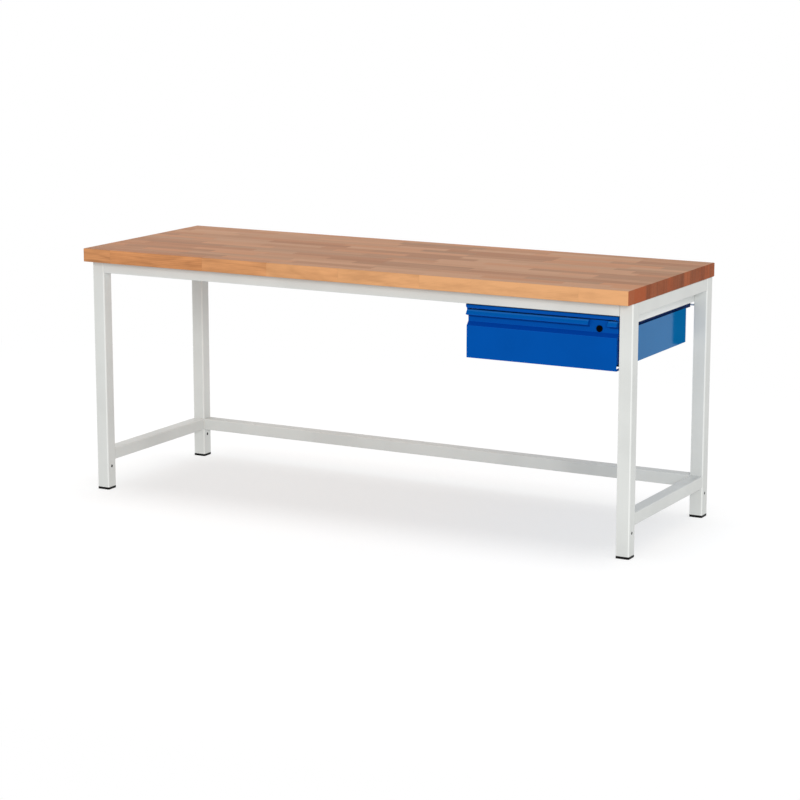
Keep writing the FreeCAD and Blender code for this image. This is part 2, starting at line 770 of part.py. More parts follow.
def make_lock_plate():
    """Fills the gap of the lip: a back plate, a top flange and two cheeks that close the lip."""
    body = new_body("lock_plate")
    section = sketch_on(body, "YZ")
    back = recess_depth
    rear = back + front_sheet
    lip = front_outline()[4:]
    polygon(section, [(rear, recess_bottom), (back, recess_bottom), (back, recess_bottom + recess_height)] + lip
            + [(return_depth, front_height), (return_depth, front_height - front_sheet),
               (rear, front_height - front_sheet)])
    pad(body, section, lip_gap)
    edge = edges_along(body.Shape, X_AXIS, lambda at: at.y < 0)
    fillet(body, front_bend, edge)
    room = sketch_on(body, "YZ", front_sheet)
    rectangle(room, -(lip_reach + overcut), recess_bottom, back, front_height + overcut)
    pocket(body, room, lip_gap - front_sheet * 2, backwards=True)
    hole = sketch_on(body, "XZ", -(return_depth + overcut))
    circle(hole, lip_gap / 2, lock_height, barrel_bore)
    pocket(body, hole, backwards=True)
    place(body, lock_x - lip_gap / 2, legs_front, front_bottom)


def turned(label, rings, bore=None):
    """A solid turned about the lock axis: rings are (radius, from, to) along +Y, with an optional bore."""
    body = new_body(label)
    outline = [(0, rings[0][1])]
    for radius, start, end in rings:
        outline += [(radius, start), (radius, end)]
    outline += [(0, rings[-1][2])]
    profile = sketch_on(body, "XY")
    polygon(profile, outline)
    feature = body.newObject("PartDesign::Revolution", f"{label}_turn")
    feature.Profile = profile
    feature.ReferenceAxis = (profile, ["V_Axis"])
    feature.Angle = 360
    doc.recompute()
    if bore is not None:
        hole = sketch_on(body, "XZ", -(rings[-1][2] + overcut))
        circle(hole, 0, 0, bore)
        pocket(body, hole, backwards=True)
    place(body, lock_x, recess_back, lock_z)
    return body


def make_lock():
    barrel = turned("lock_barrel", [(barrel_face / 2, -barrel_face_depth, 0),
                                    (barrel_diameter / 2, 0, barrel_length)], bore=plug_diameter)
    face_rim = [f"Edge{i + 1}" for i, edge in enumerate(barrel.Tip.Shape.Edges)
                if edge.Curve.TypeId == "Part::GeomCircle" and near(edge.BoundBox.YMax, -barrel_face_depth)
                and near(edge.Curve.Radius, barrel_face / 2)]
    chamfer(barrel, barrel_bevel, face_rim)

    plug = turned("lock_plug", [(plug_diameter / 2 - plug_play, -(barrel_face_depth + plug_proud),
                                 barrel_length + plug_back)])
    square = sketch_on(plug, "XZ", -(barrel_length + plug_back))
    rectangle(square, -(tenon / 2), -(tenon / 2), tenon / 2, tenon / 2)
    pad(plug, square, cam_sheet, backwards=True)
    slot = sketch_on(plug, "XZ", barrel_face_depth + plug_proud)
    rectangle(slot, -(key_slot_width / 2), -(key_slot_height / 2), key_slot_width / 2, key_slot_height / 2)
    pocket(plug, slot, key_slot_depth)
    thread = sketch_on(plug, "XZ", -(cam_back - recess_back))
    circle(thread, 0, 0, cam_screw_diameter + cam_fit)
    pocket(plug, thread, cam_screw_length + cam_fit, backwards=True)

    nut = doc.addObject("Part::Prism", "lock_nut_blank")
    nut.Polygon = 6
    bind(nut, "Circumradius", nut_width / 2)
    bind(nut, "Height", nut_thickness)
    bore = cylinder("lock_nut_bore", barrel_bore, nut_thickness, 0, 0, 0)
    lock_nut = node(cut("lock_nut", nut, bore))
    lock_nut.Placement.Rotation = FreeCAD.Rotation(X_AXIS, -90)
    place(lock_nut, lock_x, inner_front_face, lock_z)

    cam = new_body("lock_cam")
    blade = sketch_on(cam, "XZ")
    half = cam_width / 2
    rectangle(blade, -cam_reach, -half, half, half)
    hole = tenon / 2 + cam_fit
    rectangle(blade, -hole, -hole, hole, hole)
    pad(cam, blade, cam_sheet, backwards=True)
    corners = edges_along(cam.Shape, Y_AXIS, lambda at: abs(at.z) > tenon.value)
    fillet(cam, cam_corner, corners)
    place(cam, lock_x, cam_front, lock_z)

    screw = turned("lock_cam_screw", [(cam_screw_diameter / 2, -cam_screw_length, 0),
                                      (cam_screw_head / 2, 0, cam_screw_head_depth)])
    place(screw, lock_x, cam_back, lock_z)


# ---------------------------------------------------------------- the bench

make_worktop()
make_legs_and_feet()
make_rails()
make_lugs()
hex_screws("worktop_screws", lug_screw_places(), top_underside - lug_thickness)
make_carrier("carrier_left", -1)
make_carrier("carrier_right", 1)
hex_screws("carrier_screws", carrier_screw_places(), top_underside - carrier_sheet)
make_front_strip()
make_side_plate("housing_plate_left", -1)
make_side_plate("housing_plate_right", 1)
make_rear_tie()
make_slide("left", -1)
make_slide("right", 1)
make_drawer_front()
make_tub()
make_inner_side("drawer_side_left", -1)
make_inner_side("drawer_side_right", 1)
make_inner_front()
make_drawer_back()
make_lock_plate()
make_lock()

doc.recompute()
for item in doc.Objects:
    if "Invalid" in item.State or "Error" in item.State:
        raise RuntimeError(f"{item.Label}: {item.State}")
os.makedirs("parts", exist_ok=True)
for item in nodes:
    shape = item.Shape
    if shape.isNull() or not shape.isValid():
        raise RuntimeError(f"{item.Label}: no valid shape")
    shape.exportStep(f"parts/{item.Label}.step")
    print(item.Label, len(shape.Solids), round(shape.Volume), shape.BoundBox)
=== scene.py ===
import math
from collections import namedtuple

import bpy
from bpy.props import FloatProperty, FloatVectorProperty, PointerProperty
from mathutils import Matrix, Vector


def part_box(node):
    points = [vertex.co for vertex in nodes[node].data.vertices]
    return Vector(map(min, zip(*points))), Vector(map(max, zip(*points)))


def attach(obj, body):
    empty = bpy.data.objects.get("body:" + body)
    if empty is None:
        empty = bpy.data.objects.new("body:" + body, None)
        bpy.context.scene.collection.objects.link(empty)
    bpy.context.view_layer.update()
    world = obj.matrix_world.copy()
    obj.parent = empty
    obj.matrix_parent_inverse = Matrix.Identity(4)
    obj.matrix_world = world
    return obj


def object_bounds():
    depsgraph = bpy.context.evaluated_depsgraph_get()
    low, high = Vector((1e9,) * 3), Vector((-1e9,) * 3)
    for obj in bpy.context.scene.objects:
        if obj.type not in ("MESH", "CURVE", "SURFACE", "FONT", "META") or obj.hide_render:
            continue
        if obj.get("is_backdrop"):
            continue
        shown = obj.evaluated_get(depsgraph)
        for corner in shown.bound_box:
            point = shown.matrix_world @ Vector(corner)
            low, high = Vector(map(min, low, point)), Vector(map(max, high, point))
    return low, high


bl_info = {
    "name": "Steel workbench",
    "version": (1, 0, 0),
    "blender": (4, 5, 0),
    "location": "View3D > Sidebar > Workbench",
    "description": "Finishes, strip tabs and studio for a workbench with a beech top and a drawer",
    "category": "Object",
}

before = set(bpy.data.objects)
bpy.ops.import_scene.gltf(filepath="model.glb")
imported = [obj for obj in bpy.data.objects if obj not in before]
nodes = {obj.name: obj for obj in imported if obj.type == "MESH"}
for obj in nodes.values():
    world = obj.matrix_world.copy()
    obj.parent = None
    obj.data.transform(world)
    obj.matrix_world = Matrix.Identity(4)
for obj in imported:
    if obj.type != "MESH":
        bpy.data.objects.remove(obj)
cad_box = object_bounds()

# Pieces that share a finish.
LEGS = [f"leg_{end}_{side}" for end in ("front", "back") for side in ("left", "right")]
FEET = [f"foot_{end}_{side}" for end in ("front", "back") for side in ("left", "right")]
TOP_RAILS = ["top_rail_front", "top_rail_back", "top_rail_left", "top_rail_right"]
LOWER_RAILS = ["lower_rail_back", "lower_rail_left", "lower_rail_right"]
CARRIERS = ["carrier_left", "carrier_right", "worktop_lugs"]
RUNNER_PLATES = ["housing_plate_left", "housing_plate_right"]
STRIP = "housing_front_strip"
BODY_SHEETS = ["drawer_tub", "drawer_side_left", "drawer_side_right", "drawer_inner_front",
               "drawer_back", "housing_rear_tie"]
SLIDES = [f"slide_{side}_{part}" for side in ("left", "right")
          for part in ("fixed", "middle", "drawer")]
SCREWS = ["worktop_screws", "carrier_screws", "lock_cam_screw", "lock_nut", "lock_cam"]
LOCK_FACES = ["lock_barrel", "lock_plug"]

WHITE = (1.0, 1.0, 1.0)
BLACK = (0.0, 0.0, 0.0)

# Sizes in metres.
GLUE_LINE = 0.0005         # dark line between two pieces of beech
HEART_DEPTH = 0.17         # how far under the worktop's top the deepest heart of a piece lies
HEART_RISE = 0.22          # over what height hearts are spread from there
HEART_SPREAD = 0.16        # over what width hearts are spread about the middle of their stave
RING_WANDER = 0.022        # how far growth rings leave their circles
TUBE_WALL = (0.0008, 0.0014)   # under a leg's outer face: where the coat ends and steel starts
SCUFFED = 0.0025           # height up to which the feet are scuffed
PAST_TOP = 0.004           # how far a coat's top band runs on past the piece

# Shares of a size.
STAVE_OFFSET = 7.0         # how many pieces staves are moved against one another, at most
PIECE_OFFSET = 0.7         # how far a joint in a stave is moved, at most, as a share of a piece
TAB_ROUNDING = 0.3         # radius of the tab's edges, as a share of its sheet

# Patterns that are drawn out one way: waves per metre along X, Y and Z, how many waves they are
# shifted along X between pieces of wood, at most, and the detail and roughness of their noise.
Pattern = namedtuple("Pattern", "waves shift detail roughness", defaults=(0.0, 2.0, 0.5))
WANDER = Pattern((1.6, 6.0, 6.0), shift=31.0)
STREAKS = Pattern((2.6, 130.0, 130.0), shift=17.0, detail=4.0, roughness=0.62)
RAYS = Pattern((230.0, 1500.0, 1500.0), detail=1.0)
BANDS = Pattern((0.0, 95.0, 9.0), shift=9.0, roughness=0.6)
FIGURE = Pattern((9.0, 30.0, 42.0), shift=40.0, detail=3.0, roughness=0.55)
SLAB = Pattern((2.3, 3.0, 13.0), shift=23.0, detail=1.0, roughness=0.4)
ROLLING_LINES = Pattern((900.0, 14.0, 900.0), detail=3.0, roughness=0.6)

SLAB_LIFT = 5.0            # how many waves pieces shift the slab's pattern upwards, at most
SLAB_ARCS = 46.0           # radians of the slab's arcs from the lowest noise to the highest
LATHE_RINGS = 9000.0       # radians per metre from the lock's axis

# What each random draw of the beech adds to its stave and piece, so that no two draws agree.
STAVE_DRAW = 36.5
PIECE_DRAW = 40.25
TINT_DRAW = 1245.5
WARMTH_DRAW = 1813.0
HEART_Y_DRAW = 4.0
HEART_Z_DRAW = 5.0
RINGED_DRAW = 6.0

# Levels of a noise, between which a mask goes from 0 to 1.
RAY_LEVELS = (0.60, 0.72)
PORE_LEVELS = (0.52, 0.68)
CLOUD_LEVELS = (0.3, 0.7)
SPECK_LEVELS = (0.72, 0.80)
SCUFF_LEVELS = (0.5, 0.62)
SMUDGE_LEVELS = (0.4, 0.7)

# Parts of a surface's normal along an axis, between which a mask goes from 0 to 1.
ALONG_AXIS = (0.45, 0.75)      # the surface looks along the axis
OFF_AXES = (0.995, 0.95)       # it looks along none of the axes, as a bend does
OFF_LEVEL = (0.1, 0.3)         # it looks up or down
LIP_SLOPE = (0.585, 0.598)     # it slopes as the drawer's lip does
LEDGE_SLOPE = (0.625, 0.65)    # it slopes as the ledge under the lip does
BELOW_CREST = (0.69, 0.675)    # it is no flatter than that ledge
SQUARELY = 0.9                 # past this part a face looks along the axis

# What multiplies the colour of the reddest and of the palest piece of beech.
REDDEST = (1.02, 0.88, 0.78)
PALEST = (1.02, 1.05, 1.07)

# What multiplies a powder coat's colour, and how much of the result shows: the bends' share is a
# painted highlight, the lip's painted light and the ledge's painted shade.
CLOUD_DARK, CLOUD_PALE = 0.955, 1.03
BEND_HIGHLIGHT_GAIN, BEND_HIGHLIGHT_LIFT = 1.32, 0.006
SPECK_SHOWS, BEND_HIGHLIGHT_SHOWS = 0.35, 0.85
LIP_LIGHT_KEEPS_BLUE, LEDGE_SHADE_KEEPS_BLUE = 0.65, 0.6

# Roughness and specular level of the two kinds of matt powder.
GREY_GLOSS = {"roughness": 0.42, "Specular_IOR_Level": 0.25}
BLUE_GLOSS = {"roughness": 0.40, "Specular_IOR_Level": 0.02}

# A level stretch of a coat that has its own colour, here painted highlight or painted shade:
# heights, width of its soft edges, colour.
Band = namedtuple("Band", "low high edge colour")


def tone(red, green, blue):
    """A colour on the 0 to 255 scale as the linear values that shaders use."""
    linear = []
    for level in (red, green, blue):
        share = level / 255
        linear.append(share / 12.92 if share <= 0.04045 else ((share + 0.055) / 1.055) ** 2.4)
    return tuple(linear)


# ---------------------------------------------------------------- settings

class WoodSettings(bpy.types.PropertyGroup):
    """Sizes and colours of the beech worktop."""
    stave_width: FloatProperty(name="Stave width", description="Width of one glued stave",
                               default=0.0438, min=0.01, unit="LENGTH")
    stave_length: FloatProperty(name="Stave length",
                                description="Usual length of one piece in a stave",
                                default=0.28, min=0.05, unit="LENGTH")
    ring_spacing: FloatProperty(name="Ring spacing", description="Distance between growth rings",
                                default=0.0042, min=0.001, unit="LENGTH")
    face: FloatVectorProperty(name="Face", description="Colour of the upper and lower face",
                              subtype="COLOR", default=tone(204, 154, 119))
    # The long edges are paler than the faces partly for the grain that shows there and partly as
    # painted light, for the light that falls on the front edge.
    edge: FloatVectorProperty(name="Long edge", description="Colour of the long edges",
                              subtype="COLOR", default=tone(228, 169, 118))
    end: FloatVectorProperty(name="End grain", description="Colour of the end grain",
                             subtype="COLOR", default=tone(168, 92, 56))
    deep: FloatVectorProperty(name="Deep brown", description="Colour that rings and seams tend to",
                              subtype="COLOR", default=(0.13, 0.045, 0.02))


class PaintSettings(bpy.types.PropertyGroup):
    """Colours of the powder coats and of the bare parts."""
    frame_grey: FloatVectorProperty(name="Frame", description="Light grey coat of the frame",
                                    subtype="COLOR", default=tone(219, 221, 218))
    # Paler than the frame as painted light, against the shade under the top rails.
    carrier_grey_painted_light: FloatVectorProperty(name="Carriers",
                                      description="Paler grey coat of carriers and lugs",
                                      subtype="COLOR", default=tone(238, 240, 238))
    front_blue: FloatVectorProperty(name="Drawer front",
                                    description="Blue coat of the drawer front",
                                    subtype="COLOR", default=tone(0, 80, 168))
    body_blue: FloatVectorProperty(name="Drawer body", description="Blue coat of the drawer body",
                                   subtype="COLOR", default=tone(9, 106, 168))
    # Painted highlight along the top fold of the drawer front.
    front_crest_painted_highlight: FloatVectorProperty(name="Front's crest",
                                     description="Paler coat along the top fold of the front",
                                     subtype="COLOR", default=tone(30, 106, 184))
    # Painted shade on the recess under the drawer front's lip.
    front_fold_painted_shade: FloatVectorProperty(name="Front's fold",
                                    description="Deeper coat under the lip of the front",
                                    subtype="COLOR", default=tone(0, 58, 138))
    # Painted shade along the top of the strip, under the rail.
    strip_crest_painted_shade: FloatVectorProperty(name="Strip's crest",
                                     description="Deeper coat along the top of the strip",
                                     subtype="COLOR", default=tone(6, 50, 98))
    # The runner plates' blue, darkened to navy as painted shade under the carriers.
    runner_navy: FloatVectorProperty(name="Runner plates",
                                     description="Dark blue coat of the runner plates",
                                     subtype="COLOR", default=tone(0, 38, 94))
    foot_black: FloatVectorProperty(name="Feet", description="Moulded plastic of the feet",
                                    subtype="COLOR", default=tone(9, 8, 7))
    foot_scuff: FloatVectorProperty(name="Scuffs", description="Scuffed plastic of the feet",
                                    subtype="COLOR", default=tone(70, 66, 62))
    lock_black: FloatVectorProperty(name="Lock", description="Lacquer of the lock",
                                    subtype="COLOR", default=tone(2, 2, 4))
    lock_smudge: FloatVectorProperty(name="Lock's smudges",
                                     description="Handled lacquer of the lock",
                                     subtype="COLOR", default=tone(8, 9, 12))
    zinc: FloatVectorProperty(name="Zinc", description="Plating of slides and screws",
                              subtype="COLOR", default=tone(188, 190, 192))
    # Bare steel inside the legs, darkened to near black as painted shade.
    bare_steel_and_painted_shade: FloatVectorProperty(name="Inside of the legs",
                                    description="Bare steel inside the tubes",
                                    subtype="COLOR", default=tone(14, 13, 12))
    peel_size: FloatProperty(name="Orange peel", description="Size of the coat's fine waves",
                             default=0.0022, min=0.0005, unit="LENGTH")


class TabSettings(bpy.types.PropertyGroup):
    """Sizes of the folded tabs at the ends of the drawer housing's front strip."""
    sheet: FloatProperty(name="Sheet", description="Thickness of the tab's sheet",
                         default=0.0015, min=0.0005, unit="LENGTH")
    drop: FloatProperty(name="Drop", description="How far the tab hangs below the strip",
                        default=0.0055, min=0.002, unit="LENGTH")
    foot: FloatProperty(name="Foot", description="Width of the foot that is welded under the strip",
                        default=0.009, min=0.003, unit="LENGTH")
    depth: FloatProperty(name="Depth", description="Length of the tab from front to back",
                         default=0.018, min=0.004, unit="LENGTH")
    setback: FloatProperty(name="Setback",
                           description="Distance of the tab behind the strip's face",
                           default=0.0065, min=0.001, unit="LENGTH")


class StudioSettings(bpy.types.PropertyGroup):
    """Floor, lights and camera."""
    floor_width: FloatProperty(name="Floor width", description="Side of the square floor",
                               default=60.0, min=4, unit="LENGTH")
    floor: FloatVectorProperty(name="Floor", description="Colour of the floor",
                               subtype="COLOR", default=(0.58, 0.58, 0.58))
    floor_lift: FloatProperty(name="Floor lift",
                              description="Light that the floor adds to the bench from below",
                              default=0.18, min=0)
    floor_depth: FloatProperty(name="Shadow depth",
                               description="How much light the seen floor gives back",
                               default=0.46, min=0, max=1)
    floor_glow: FloatProperty(name="Floor glow",
                              description="White added to the floor as the camera sees it",
                              default=0.57, min=0)
    fade_from: FloatProperty(name="Fade from", description="Where the floor starts to turn white",
                             default=0.9, min=0, unit="LENGTH")
    fade_to: FloatProperty(name="Fade to", description="Where the floor is plain white",
                           default=2.6, min=0, unit="LENGTH")
    lamp_power: FloatProperty(name="Floor lamp",
                              description="Strength of the overhead light on the floor",
                              default=1.3, min=0)
    lamp_spread: FloatProperty(name="Floor lamp's spread",
                               description="Width of the overhead light, which softens the shadow",
                               default=math.radians(26), min=0, unit="ROTATION")
    lamp_height: FloatProperty(name="Floor lamp's height",
                               description="Height of the overhead light",
                               default=4.0, min=1, unit="LENGTH")
    shadow_from: FloatProperty(name="Shadow from",
                               description="Height above which the floor lamp casts shadows",
                               default=0.5, min=0, unit="LENGTH")
    sky: FloatProperty(name="Sky", description="Strength of the even light from all sides",
                       default=0.61, min=0)
    aim: FloatVectorProperty(name="Aim", description="Point that the softboxes face",
                             subtype="TRANSLATION", default=(0.0, 0.0, 0.45))
    key_power: FloatProperty(name="Softbox", description="Power of the softbox",
                             default=770.0, min=0)
    key_width: FloatProperty(name="Softbox width", description="Side of the softbox",
                             default=3.6, min=0.1, unit="LENGTH")
    key_place: FloatVectorProperty(name="Softbox place", description="Middle of the softbox",
                                   subtype="TRANSLATION", default=(7.9, -11.1, 4.75))
    side_power: FloatProperty(name="Side softbox", description="Power of the softbox on the left",
                              default=50.0, min=0)
    side_width: FloatProperty(name="Side softbox width",
                              description="Side of the softbox on the left",
                              default=2.0, min=0.1, unit="LENGTH")
    side_place: FloatVectorProperty(name="Side softbox place",
                                    description="Middle of the softbox on the left",
                                    subtype="TRANSLATION", default=(-4.2, 0.6, 1.9))
    azimuth: FloatProperty(name="Azimuth", description="Camera direction round the bench",
                           default=math.radians(28.61), unit="ROTATION")
    elevation: FloatProperty(name="Elevation", description="Camera direction above the horizon",
                             default=math.radians(11.31), unit="ROTATION")
    camera_place: FloatVectorProperty(name="Camera", description="Place of the camera",
                                      subtype="TRANSLATION", default=(3.8603, -7.0252, 1.9546))
    sensor: FloatProperty(name="Sensor", description="Width of the sensor in millimetres",
                          default=36.0, min=1)
    lens: FloatProperty(name="Lens", description="Focal length in millimetres",
                        default=109.8, min=10)


# ---------------------------------------------------------------- shader arithmetic

class Value:
    """One output in a node tree, on which ordinary arithmetic works."""

    def __init__(self, tree, socket):
        self.tree = tree
        self.socket = socket

    def math(self, operation, *others):
        return self.tree.math(operation, self, *others)

    def __add__(self, other):
        return self.math("ADD", other)

    def __radd__(self, other):
        return self.math("ADD", other)

    def __sub__(self, other):
        return self.math("SUBTRACT", other)

    def __rsub__(self, other):
        return self.tree.math("SUBTRACT", other, self)

    def __mul__(self, other):
        return self.math("MULTIPLY", other)

    def __rmul__(self, other):
        return self.math("MULTIPLY", other)

    def __truediv__(self, other):
        return self.math("DIVIDE", other)

    def __rtruediv__(self, other):
        return self.tree.math("DIVIDE", other, self)


class Tree:
    """A node tree that is filled by short calls."""

    # The Mix node's sockets for colours, which share their names with those for numbers.
    MIX_FACTOR, MIX_FIRST, MIX_SECOND, MIX_RESULT = 0, 6, 7, 2

    def __init__(self, node_tree):
        self.node_tree = node_tree

    def feed(self, socket, value):
        """Link a Value to a socket, or set the socket to a plain number, colour or vector."""
        if isinstance(value, Value):
            self.node_tree.links.new(value.socket, socket)
        elif socket.type == "RGBA":
            socket.default_value = (*value[:3], 1.0)
        else:
            socket.default_value = value

    def node(self, kind, settings=None, inputs=None, output=0):
        """Add a node: its settings first, then the values or links of its sockets."""
        node = self.node_tree.nodes.new(f"ShaderNode{kind}")
        for name, value in (settings or {}).items():
            setattr(node, name, value)
        for name, value in (inputs or {}).items():
            self.feed(node.inputs[name], value)
        return Value(self, node.outputs[output])

    def math(self, operation, *values):
        return self.node("Math", {"operation": operation}, dict(enumerate(values)))

    def combine(self, *parts):
        return self.node("CombineXYZ", inputs=dict(enumerate(parts)))

    def split(self, vector):
        node = self.node("SeparateXYZ", inputs={0: vector}).socket.node
        return [Value(self, output) for output in node.outputs]

    def mix(self, factor, first, second, blend="MIX"):
        """A colour between first and second."""
        settings = {"data_type": "RGBA", "blend_type": blend}
        inputs = {self.MIX_FACTOR: factor, self.MIX_FIRST: first, self.MIX_SECOND: second}
        return self.node("Mix", settings, inputs, output=self.MIX_RESULT)

    def ramp(self, value, low, high, to_low=0.0, to_high=1.0):
        """Value smoothed from low..high to to_low..to_high."""
        inputs = dict(enumerate((value, low, high, to_low, to_high)))
        return self.node("MapRange", {"interpolation_type": "SMOOTHSTEP"}, inputs)

    def noise(self, vector, scale=1.0, detail=2.0, roughness=0.5):
        inputs = {"Vector": vector, "Scale": scale, "Detail": detail, "Roughness": roughness}
        return self.node("TexNoise", inputs=inputs)

    def ripple(self, value, rate, sharpness):
        """Waves from 0 to 1, so many radians per unit of value, and narrow where they are high."""
        return ((value * rate).math("SINE") * 0.5 + 0.5).math("POWER", sharpness)

    def drawn_out(self, place, pattern, share=0.0, lift=0.0):
        """The noise of a pattern, shifted along X by a share of its shift, and lifted along Z."""
        shift = self.combine(share * pattern.shift, 0.0, lift)
        inputs = {0: place, 1: pattern.waves, 2: shift}
        vector = self.node("VectorMath", {"operation": "MULTIPLY_ADD"}, inputs)
        return self.noise(vector, 1.0, pattern.detail, pattern.roughness)

    def random(self, *numbers):
        """A number from 0 to 1 that is the same wherever the numbers, three at most, are."""
        settings = {"noise_dimensions": "3D"}
        return self.node("TexWhiteNoise", settings, {"Vector": self.combine(*numbers)})

    def seen(self):
        """1 for what the camera sees straight, mirrored or through glass, and 0 for its light."""
        path = self.node("LightPath").socket.node
        rays = [Value(self, path.outputs[f"Is {name} Ray"])
                for name in ("Camera", "Glossy", "Transmission")]
        return rays[0].math("MAXIMUM", rays[1]).math("MAXIMUM", rays[2])


class Finish(Tree):
    """A material in the making: its nodes and its surface shader."""

    def __init__(self, name, **surface):
        self.material = bpy.data.materials.new(name)
        self.material.use_nodes = True
        super().__init__(self.material.node_tree)
        self.surface = self.node_tree.nodes["Principled BSDF"]
        for socket, value in surface.items():
            self.set(socket, value)

    def set(self, socket, value):
        """Feed a socket of the surface shader, named with underscores for spaces."""
        self.feed(self.surface.inputs[socket.replace("_", " ")], value)

    def place(self):
        """Object coordinates, which are the bench's own frame in metres."""
        return self.node("TexCoord", output="Object")

    def facing(self):
        """How squarely the surface faces along X, Y and Z."""
        normal = self.node("TexCoord", output="Normal")
        return [axis.math("ABSOLUTE") for axis in self.split(normal)]

    def bump(self, height, distance, strength=1.0):
        inputs = {"Strength": strength, "Distance": distance, "Height": height}
        self.set("Normal", self.node("Bump", inputs=inputs))

    def put_on(self, *names):
        """Give all the material slots of the CAD nodes this material."""
        for name in names:
            for slot in nodes[name].material_slots:
                slot.material = self.material


# ---------------------------------------------------------------- finishes

class Staves:
    """The glued staves: how their pieces lie, and what each piece draws at random."""

    def __init__(self, finish, wood, x, y):
        self.finish = finish
        self.wood = wood
        self.across = y / wood.stave_width
        self.row = self.across.math("FLOOR")
        along = x / wood.stave_length + finish.random(self.row, STAVE_DRAW) * STAVE_OFFSET
        moved = finish.random(self.row, along.math("FLOOR"), PIECE_DRAW) * PIECE_OFFSET
        self.along = along + moved
        self.piece = self.along.math("FLOOR")

    def draw(self, number):
        """A random number from 0 to 1, which is one for all of a piece."""
        return self.finish.random(self.row, self.piece, number)

    def seam(self):
        """1 on the glue lines between staves and between the pieces of a stave."""
        lines = []
        for part, size in ((self.across - self.row, self.wood.stave_width),
                           (self.along - self.piece, self.wood.stave_length)):
            from_middle = (part - 0.5).math("ABSOLUTE")
            lines.append(self.finish.ramp(from_middle, 0.5 - GLUE_LINE / size, 0.5))
        return lines[0].math("MAXIMUM", lines[1])

    def rings(self, place, y, z, tint):
        """Growth rings round a heart of each piece's own, as waves from 0 to 1."""
        finish = self.finish
        swerve = finish.drawn_out(place, WANDER, tint)
        heart_y = ((self.row + 0.5) * self.wood.stave_width
                   + (self.draw(HEART_Y_DRAW) - 0.5) * HEART_SPREAD)
        heart_z = self.draw(HEART_Z_DRAW) * HEART_RISE + (cad_box[1].z - HEART_DEPTH)
        side_y = y - heart_y
        side_z = z - heart_z
        radius = (side_y * side_y + side_z * side_z).math("SQRT") + swerve * RING_WANDER
        return finish.ripple(radius, 2 * math.pi / self.wood.ring_spacing, sharpness=2.2)


def beech(wood):
    """Glued beech: staves along X in pieces of differing length, with rings, rays and pores."""
    finish = Finish("beech", Specular_IOR_Level=0.04)
    place = finish.place()
    x, y, z = finish.split(place)
    face_x, face_y, _ = finish.facing()
    on_edge = finish.ramp(face_y, *ALONG_AXIS)
    on_end = finish.ramp(face_x, *ALONG_AXIS)

    staves = Staves(finish, wood, x, y)
    tint = staves.draw(TINT_DRAW)
    warmth = staves.draw(WARMTH_DRAW)
    ringed = staves.draw(RINGED_DRAW).math("POWER", 2.0)
    rings = staves.rings(place, y, z, tint)
    seam = staves.seam()

    streaks = finish.drawn_out(place, STREAKS, warmth)
    bands = finish.drawn_out(place, BANDS, tint)
    figure = finish.drawn_out(place, FIGURE, tint)
    slab = finish.drawn_out(place, SLAB, tint, lift=warmth * SLAB_LIFT)
    arcs = finish.ripple(slab, SLAB_ARCS, sharpness=3.0)
    rays = finish.ramp(finish.drawn_out(place, RAYS), *RAY_LEVELS)
    pores = finish.ramp(finish.noise(place, scale=1500.0), *PORE_LEVELS)
    fine = rays + (pores - rays) * on_end

    def by_side(face, edge=None, end=None):
        """How strong a feature is on the faces, and how much that changes on edge and end."""
        for side, change in ((on_edge, edge), (on_end, end)):
            if change is not None:
                face = face + side * change
        return face

    # Face, edge and end colours: the edges' paler tone is partly painted light.
    colour = finish.mix(on_end, finish.mix(on_edge, wood.face, wood.edge), wood.end)
    reddest = finish.mix(1.0, colour, REDDEST, "MULTIPLY")
    palest = finish.mix(1.0, colour, PALEST, "MULTIPLY")
    colour = finish.mix(warmth, reddest, palest)
    shade = (0.5 - tint) * by_side(0.42, edge=-0.12, end=0.30) + 0.12
    shade = shade + (bands - 0.5) * on_end * 1.3
    shade = shade + (streaks - 0.5) * by_side(0.34, edge=-0.12)
    shade = shade + (figure - 0.5) * by_side(0.10, edge=0.50)
    shade = shade + rings * by_side(0.05, edge=ringed * 0.12, end=0.05)
    shade = shade + (arcs - 0.3) * on_edge * (0.15 - tint * 0.11)
    shade = shade + fine * 0.07 + seam * 0.25
    finish.set("Base_Color", finish.mix(shade, colour, wood.deep))
    finish.set("Roughness", 0.46 + (streaks - 0.5) * 0.22 + fine * 0.08)
    finish.bump(1.0 - fine * 0.55 - rings * 0.25 - seam * 1.2, distance=0.00012)
    return finish


def scaled(colour, share, more=0.0):
    """A colour times a number, no brighter than white."""
    return tuple(min(1.0, level * share + more) for level in colour)


def sloping(colour, share, blue_keeps):
    """A coat's colour on a slope, as painted light or painted shade: green times share, and blue
    less far from what it was.
    """
    return (colour[0], colour[1] * share, colour[2] * (blue_keeps + (1 - blue_keeps) * share))


